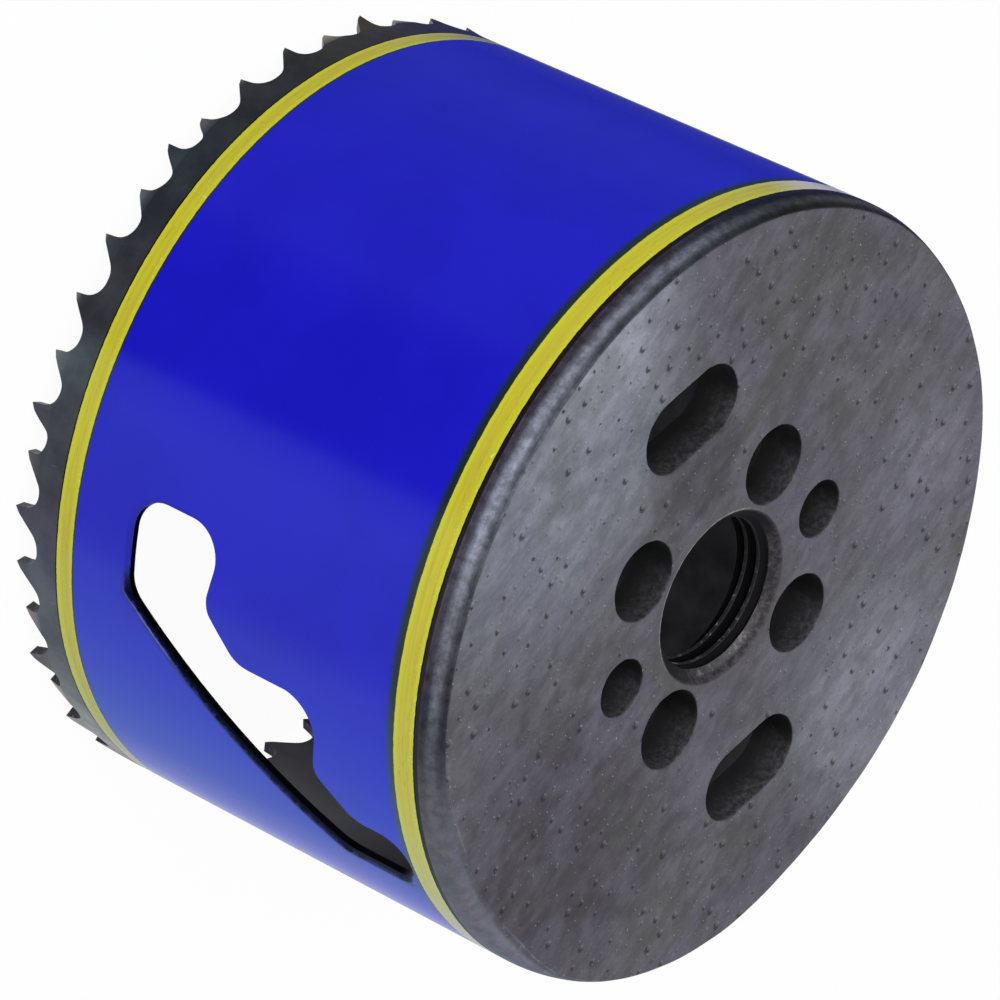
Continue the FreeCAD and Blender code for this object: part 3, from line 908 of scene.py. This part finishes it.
def wall_finish():
    shader = Shader("painted_wall_finish")
    place = shader.place()
    across, deep, height = shader.parts(place)
    angle = shader.math("ARCTAN2", deep, across)
    radial = shader.vector("NORMALIZE", shader.level(place))
    normal = shader.normal()
    facing = shader.dot(normal, radial)
    outside = shader.smooth(facing, 0.35, 0.55)
    all_round = shader.math("FLOORED_MODULO", angle, 2 * math.pi)
    bottom = shader.between(all_round, math.radians(126), math.radians(186), math.radians(28))
    rag = shader.noise(place, 1.6, 4.0, 0.65)
    level = shader.math("SUBTRACT", shader.plus(height, rag, 0.16), 0.08)
    far_level = shader.plus(level, bottom, 0.28)
    far = shader.between(far_level, FAR_RING[0], FAR_RING[1], 0.05)
    near = shader.between(level, NEAR_RING[0], NEAR_RING[1], 0.05)

    paint = blue_paint(shader, place)
    # Painted light: the paint is lighter on the side from 126 to 186 degrees.
    paint = shader.mix(shader.times(bottom, 0.7), paint, colour(8, 12, 196))
    drop, along, beside = slot_drop(shader, place, height, angle)
    # Painted shade: a dark navy band beside the slot's ramp, where the paint rolls over towards the cut.
    rolled = shader.smooth(shader.plus(drop, rag, 0.9), 1.35, 0.55)
    rolled = shader.times(rolled, beside)
    paint = shader.mix(rolled, paint, colour(10, 10, 78))
    # A dark soft band below the near ring, made lighter on the side from 126 to 186 degrees by painted
    # light.
    fade = shader.between(shader.plus(level, bottom, -0.3), NEAR_RING[0] - 0.85, NEAR_RING[0] + 0.9, 0.75)
    paint = shader.mix(fade, paint, shader.mix(bottom, colour(12, 34, 46), colour(44, 58, 86)))
    line = shader.between(far_level, FAR_RING[1] - 0.1, FAR_RING[1] + 0.2, 0.1)
    paint = shader.mix(line, paint, colour(16, 36, 40))
    yellow = yellow_paint(shader, place, height, NEAR_RING)
    # Painted highlight: the yellow is paler on the side from 142 to 188 degrees.
    under = shader.between(all_round, math.radians(142), math.radians(188), math.radians(35))
    yellow = shader.mix(shader.times(under, 0.8), yellow, colour(206, 200, 112))
    # Painted highlight: the yellow turns near white between -12 and 11 degrees, where the ring is seen edge
    # on.
    edge_on = shader.between(angle, math.radians(-12), math.radians(11), math.radians(14))
    yellow = shader.mix(edge_on, yellow, colour(228, 224, 206))
    paint = shader.mix(near, paint, yellow)
    paint = shader.mix(far, paint, yellow_paint(shader, place, height, FAR_RING))
    broken_edge = shader.smooth(facing, 0.995, 0.93)
    # Painted shade: darker navy next to the slot's ramp edge, where the paint is drawn in over it.
    drawn_in_shade = shader.times(shader.smooth(shader.plus(drop, rag, 0.7), 0.74, 0.5), beside)
    paint = shader.mix(drawn_in_shade, paint, colour(7, 7, 42))
    # A painted glint along part of the ramp's edge.
    glint = shader.times(shader.between(drop, 0.30, 0.40, 0.08), shader.between(along, 10.5, 15.0, 3.0))
    paint = shader.mix(shader.times(glint, 0.7), paint, colour(120, 130, 210))

    bare = bare_strip(shader, place, height, facing)
    # Painted light on the outward faces of the bare strip, by angle round the saw.
    around = shader.math("DIVIDE", shader.math("ABSOLUTE", angle), math.pi)
    bare_with_painted_light = shader.vector("MULTIPLY", bare, shader.painted_light_around(around, BAND_PAINTED_LIGHT))
    bare = shader.mix(shader.smooth(facing, 0.2, 0.5), bare, bare_with_painted_light)
    cap_gap = shader.smooth(height, NEAR_RING[1] - 0.2, NEAR_RING[1])
    bare = shader.mix(cap_gap, bare, colour(60, 50, 50))

    painted = shader.times(shader.smooth(far_level, FAR_RING[0] - 0.03, FAR_RING[0] + 0.03), outside)
    painted = shader.times(painted, shader.smooth(level, NEAR_RING[1] + 0.03, NEAR_RING[1] - 0.03))
    base = shader.mix(painted, bare, paint)
    for at, edge in ((far_level, FAR_RING[0] - 0.06), (level, NEAR_RING[1] + 0.05)):
        dark = shader.times(shader.between(at, edge - 0.07, edge + 0.07, 0.08), outside)
        base = shader.mix(dark, base, colour(14, 14, 12))

    fine = shader.noise(place, 5.0, 4.0, 0.6)
    flat = shader.times(broken_edge, painted)
    level_out = shader.add("ShaderNodeMix", {0: flat, 4: normal, 5: radial}, output=1, data_type="VECTOR")
    bumped = shader.bump(fine, 0.006, 0.6, level_out)
    sunk = shader.times(shader.smooth(drop, 0.9, 0.0), beside)
    bumped = shader.bump(shader.math("SUBTRACT", 1.0, sunk), 0.03, 1.0, bumped)
    roughness = shader.blend(painted, 0.42, 0.14)
    metal = shader.math("SUBTRACT", 1.0, painted)
    metal = shader.math("MAXIMUM", metal, drawn_in_shade)
    return shader.finish(Base_Color=base, Roughness=roughness, Metallic=metal, Normal=bumped)


def patch(shader, place, centre, reach):
    """A soft round patch on the plate's face."""
    ragged = shader.noise(place, 0.22, 3.0, 0.6)
    apart = shader.distance(shader.level(place), (*centre, 0))
    apart = shader.plus(apart, ragged, 10.0)
    return shader.smooth(apart, reach + 8.0, reach * 0.3 + 5.0)


def dents(shader, grained, spacing, size, share_kept):
    """Small crescent dents in loose rows: how deep, and how much their far lip catches the light, for
    painted shade in them and a painted highlight on the lip.
    """
    cells = shader.add(
        "ShaderNodeTexVoronoi",
        {"Vector": grained, "Scale": 1 / spacing, "Randomness": 0.9},
        output=None,
        voronoi_dimensions="2D",
    )
    away = shader.vector("SUBTRACT", grained, cells.outputs["Position"])
    chance, spread, _ = shader.parts(cells.outputs["Color"])
    away = shader.level(away)
    reach = shader.smooth(spread, 0.0, 1.0, size * 0.3, size)
    kept = shader.math("LESS_THAN", chance, share_kept)
    bend = shader.noise(grained, 1.6 / size, 2.0, 0.5)
    share = shader.plus(shader.math("DIVIDE", shader.distance(away), reach), bend, 0.9)
    beside = shader.math("DIVIDE", shader.distance(away, (size * 0.5, size * 0.1, 0)), reach)
    bowl = shader.smooth(share, 1.5, 0.95)
    dent = shader.times(bowl, shader.smooth(beside, 0.35, 0.75))
    lip = shader.times(shader.smooth(beside, 0.75, 0.3), shader.smooth(share, 1.0, 1.3))
    return shader.times(dent, kept), shader.times(lip, kept)


def face_steel(shader, place):
    """The plate's face: mottled grey with soft patches and short rolling streaks."""
    tones = colour(*FACE_TONE)
    for centre, reach, tone in FACE_PATCHES:
        tones = shader.mix(patch(shader, place, centre, reach), tones, colour(*tone))
    turn = {"Vector": place, "Angle": GRAIN_TURN}
    turned = shader.add("ShaderNodeVectorRotate", turn, rotation_type="Z_AXIS")
    streaks = shader.noise(shader.vector("MULTIPLY", turned, (0.22, 0.75, 0.5)), 1.0, 4.0, 0.6)
    tones = shader.tint(tones, shader.smooth(streaks, 0.30, 0.70, 0.93, 1.07))
    hue = shader.noise(place, 0.11, 3.0, 0.6)
    rolled = shader.smooth(hue, 0.40, 0.62)
    smears = shader.noise(shader.vector("MULTIPLY", turned, (0.42, 1.25, 1.0)), 1.0, 5.0, 0.72)
    tones = shader.tint(tones, shader.blend(rolled, 1.0, shader.smooth(smears, 0.34, 0.70, 0.91, 1.09)))
    blots = shader.noise(shader.vector("MULTIPLY", turned, (0.30, 0.5, 0.4)), 1.0, 4.0, 0.65)
    tones = shader.tint(tones, shader.smooth(blots, 0.40, 0.60, 0.89, 1.12))
    cloud = shader.noise(place, 0.22, 5.0, 0.68)
    tones = shader.tint(tones, shader.smooth(cloud, 0.35, 0.65, 0.88, 1.12))
    tones = shader.mix(shader.smooth(hue, 0.46, 0.62, 0.0, 0.30), tones, colour(100, 98, 120))
    tones = shader.mix(shader.smooth(hue, 0.44, 0.32, 0.0, 0.22), tones, colour(92, 94, 86))
    grain = shader.noise(place, 2.6, 4.0, 0.75)
    tones = shader.tint(tones, shader.smooth(grain, 0.3, 0.7, 0.93, 1.08))
    return tones, turned, streaks, smears, grain


def dented_face(shader, place, radius):
    """The plate's face with its dents in painted shade, their far lips' painted highlights, sparks and worn
    bore edge, and its relief, hollows and roughness.
    """
    face, turned, streaks, smears, grain = face_steel(shader, place)
    share_dented = shader.smooth(radius, 17, 25, 0.12, 0.55)
    dent, far_lip = dents(shader, turned, 2.4, 0.52, share_dented)
    small_dent, small_lip = dents(shader, turned, 1.3, 0.26, 0.3)
    # Painted shade in the dents and painted highlights on their far lips.
    face = shader.mix(shader.times(dent, 0.8), face, colour(40, 39, 42))
    face = shader.mix(shader.times(far_lip, 0.25), face, colour(150, 150, 156))
    face = shader.mix(shader.times(small_dent, 0.4), face, colour(56, 54, 58))
    face = shader.mix(shader.times(small_lip, 0.4), face, colour(170, 170, 176))
    sparks = shader.noise(place, 3.4, 1.0, 0.5)
    sparks = shader.smooth(sparks, 0.74, 0.80, 0.0, 0.6)
    face = shader.mix(sparks, face, colour(196, 196, 202))
    worn = shader.plus(radius, grain, 1.2)
    worn = shader.between(worn, BORE_MOUTH - 0.5, BORE_MOUTH + 1.7, 1.2)
    face = shader.mix(shader.times(worn, 0.5), face, colour(84, 82, 82))
    relief = shader.plus(shader.plus(smears, streaks, 0.5), grain, 0.35)
    hollow = shader.plus(shader.times(small_dent, -0.5), dent, -1.0)
    hollow = shader.plus(hollow, far_lip, 0.2)
    roughness = shader.smooth(smears, 0.3, 0.7, 0.58, 0.46)
    return face, relief, hollow, roughness


def rim_steel(shader, place, around, height):
    """The worn rim with its painted highlight and shade, how far it is slumped flat at a place, and its
    brushed and mottled noise.
    """
    share = shader.smooth_line(height, FLANGE_HEIGHT, FACE_HEIGHT)
    # Painted highlight and shade by height up the rim.
    rim = shader.ramp(share, [(at / FLANGE_THICKNESS, colour(*tone)) for at, tone in RIM_TONES_AND_PAINTED_LIGHT])
    brushed = shader.noise(shader.stretch(place, 0.35, 1.6), 1.0, 5.0, 0.7)
    rim = shader.tint(rim, shader.smooth(brushed, 0.3, 0.7, 0.86, 1.14))
    # Painted light by angle round the rim.
    rim = shader.vector("MULTIPLY", rim, shader.painted_light_around(around, RIM_PAINTED_LIGHT))
    mottle = shader.noise(place, 0.8, 5.0, 0.75)
    rim = shader.tint(rim, shader.smooth(mottle, 0.35, 0.65, 0.70, 1.32))
    slump = shader.smooth(around, 112 / 180, 138 / 180)
    flat = shader.mix(share, colour(122, 104, 102), colour(98, 101, 114))
    flat = shader.tint(flat, shader.smooth(mottle, 0.35, 0.65, 0.86, 1.14))
    # Painted light: the slumped part grows lighter towards 156 degrees.
    flat = shader.tint(flat, shader.smooth(around, 140 / 180, 156 / 180, 1.04, 1.25))
    rim = shader.mix(shader.times(slump, 0.92), rim, flat)
    return rim, slump, brushed, mottle


def torn_steel(shader, depth, lit, grit):
    """The torn walls of the punched holes, in painted shade that deepens downward and on the walls turned
    from the light.
    """
    torn = shader.mix(shader.smooth(grit, 0.35, 0.7), colour(48, 48, 50), colour(92, 91, 94))
    # Painted shade: darker with depth and on the walls turned from the light.
    torn = shader.mix(shader.smooth(depth, 0.3, 3.8), torn, colour(34, 34, 36))
    torn = shader.mix(lit, colour(16, 16, 17), torn)
    return shader.mix(shader.smooth(grit, 0.64, 0.74, 0.0, 0.4), torn, colour(120, 119, 122))


def bore_steel(shader, radius, depth, face, normal, lit, grit, broken):
    """The bore's thread below, and its chamfer up to the face, with painted shade deep in the bore and on
    the chamfer's side turned from the light, and painted glints on the crests and the chamfer.
    """
    # Painted shade: the thread darkens with depth.
    thread = shader.mix(shader.smooth(depth, 1.2, 3.2), colour(30, 29, 32), colour(17, 17, 19))
    crest = shader.smooth(shader.plus(radius, broken, 0.1), BORE_RADIUS + 0.15, BORE_RADIUS + 0.06)
    # Painted glints on the crests that face the light.
    glint = shader.times(shader.smooth(broken, 0.52, 0.66), lit)
    thread = shader.mix(crest, thread, shader.mix(glint, colour(58, 56, 58), colour(150, 148, 148)))
    chamfer = shader.mix(shader.smooth(grit, 0.4, 0.7), colour(52, 50, 53), colour(84, 82, 86))
    # Painted shade on the chamfer where it turns from the light.
    turned_to = shader.dot(normal, LIT_LIP)
    chamfer = shader.mix(shader.smooth(turned_to, -0.05, 0.40), colour(32, 31, 33), chamfer)
    outer = shader.smooth(shader.plus(radius, grit, 0.5), BORE_MOUTH - 0.1, BORE_MOUTH + 0.35)
    chamfer = shader.mix(outer, chamfer, shader.mix(0.25, face, colour(60, 58, 62)))
    # A painted highlight streak on the chamfer's lit side.
    streak = shader.between(radius, BORE_RADIUS + 0.15, BORE_RADIUS + 0.7, 0.3)
    streak = shader.times(streak, shader.smooth(shader.plus(glint, lit, 0.8), 0.3, 1.1))
    chamfer = shader.mix(streak, chamfer, colour(118, 117, 120))
    return shader.mix(shader.smooth(depth, 1.35, 1.2), thread, chamfer)


def plate_finish():
    shader = Shader("bare_steel_finish")
    place = shader.place()
    across, deep, height = shader.parts(place)
    radius = shader.distance(shader.level(place))
    depth = shader.math("SUBTRACT", FACE_HEIGHT, height)
    around = shader.math("ABSOLUTE", shader.math("ARCTAN2", deep, across))
    around = shader.math("DIVIDE", around, math.pi)
    face, relief, hollow, roughness = dented_face(shader, place, radius)

    rim, slump, brushed, mottle = rim_steel(shader, place, around, height)
    within = shader.smooth(radius, SPIGOT_RADIUS - 0.9, SPIGOT_RADIUS - 1.1)
    off_face = shader.math("SUBTRACT", 1.0, within)
    on_rim = shader.times(shader.smooth(shader.plus(depth, brushed, 0.1), 0.05, 0.16), off_face)
    base = shader.mix(on_rim, face, rim)
    # A thin painted highlight along the crease where the rim slumps.
    crease = shader.times(shader.between(depth, 0.012, 0.02, 0.006), shader.smooth(mottle, 0.36, 0.66))
    crease = shader.times(shader.times(crease, off_face), slump)
    base = shader.mix(shader.times(crease, 0.5), base, colour(138, 140, 150))

    normal = shader.normal()
    lit = shader.smooth(shader.dot(normal, LIT_WALLS), 0.1, 0.95)
    grit = shader.noise(place, 1.8, 5.0, 0.75)
    in_hole = shader.times(shader.smooth(depth, 0.01, 0.12), within)
    base = shader.mix(in_hole, base, torn_steel(shader, depth, lit, grit))
    at_bore = shader.smooth(radius, BORE_MOUTH + 0.02, BORE_MOUTH - 0.04)
    broken = shader.noise(place, 1.1, 4.0, 0.7)
    base = shader.mix(at_bore, base, bore_steel(shader, radius, depth, face, normal, lit, grit, broken))
    # A painted highlight on the bore's lip, on the side towards the light.
    lip = shader.between(shader.plus(radius, grit, 0.2), BORE_MOUTH, BORE_MOUTH + 0.24, 0.1)
    near_side = shader.dot(shader.vector("NORMALIZE", shader.level(place)), LIT_LIP)
    lip = shader.times(lip, shader.smooth(near_side, 0.1, 0.6))
    lip = shader.times(lip, shader.smooth(broken, 0.35, 0.6, 0.15, 0.6))
    base = shader.mix(lip, base, colour(160, 160, 164))

    bumped = shader.bump(relief, 0.035, 0.6)
    on_face = shader.times(hollow, shader.smooth(depth, 0.02, 0.005))
    bumped = shader.bump(on_face, 0.08, 0.8, bumped)
    roughness = shader.blend(in_hole, roughness, 0.7)
    far_down = shader.times(in_hole, shader.smooth(radius, BORE_MOUTH, BORE_MOUTH + 0.1))
    metal = shader.math("SUBTRACT", 1.0, shader.times(far_down, 0.3))
    return shader.finish(Base_Color=base, Roughness=roughness, Metallic=metal, Normal=bumped)


def paint_node(name, material):
    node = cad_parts[name]
    node.data.materials[0] = material


make_camera()
make_studio()
paint_node("toothed_wall", wall_finish())
make_plate(plate_finish())
